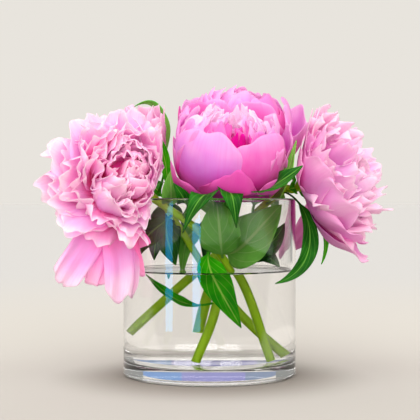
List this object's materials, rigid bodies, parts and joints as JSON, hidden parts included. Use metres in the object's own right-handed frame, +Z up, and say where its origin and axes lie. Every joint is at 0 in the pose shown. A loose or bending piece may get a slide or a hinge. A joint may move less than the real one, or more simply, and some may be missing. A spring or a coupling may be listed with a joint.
{
  "type": "peonies in a vase",
  "caption": "Cut pink peonies with leafy stems standing in a clear glass cylinder vase part filled with water.",
  "frame": {"origin": "centre of the vase's flat foot, on the surface that the vase stands on", "axes": "+Z up along the vase's axis, -Y towards the viewer of the front view, +X to that viewer's right"},
  "size_m": [0.2821, 0.1883, 0.2545],
  "materials": {
    "glass": "clear, polished",
    "water": "clear, still",
    "stem_and_leaf": "satin",
    "petal": "soft matte"
  },
  "bodies": {
    "root": {"vase": "glass", "water": "water", "stem_front": "stem_and_leaf", "stem_back": "stem_and_leaf", "stem_right": "stem_and_leaf", "stem_left": "stem_and_leaf", "stem_rear_left": "stem_and_leaf", "bloom_front": "petal", "bloom_back": "petal", "bloom_right": "petal", "bloom_left": "petal", "bloom_rear_left": "petal"}
  },
  "joints": []
}
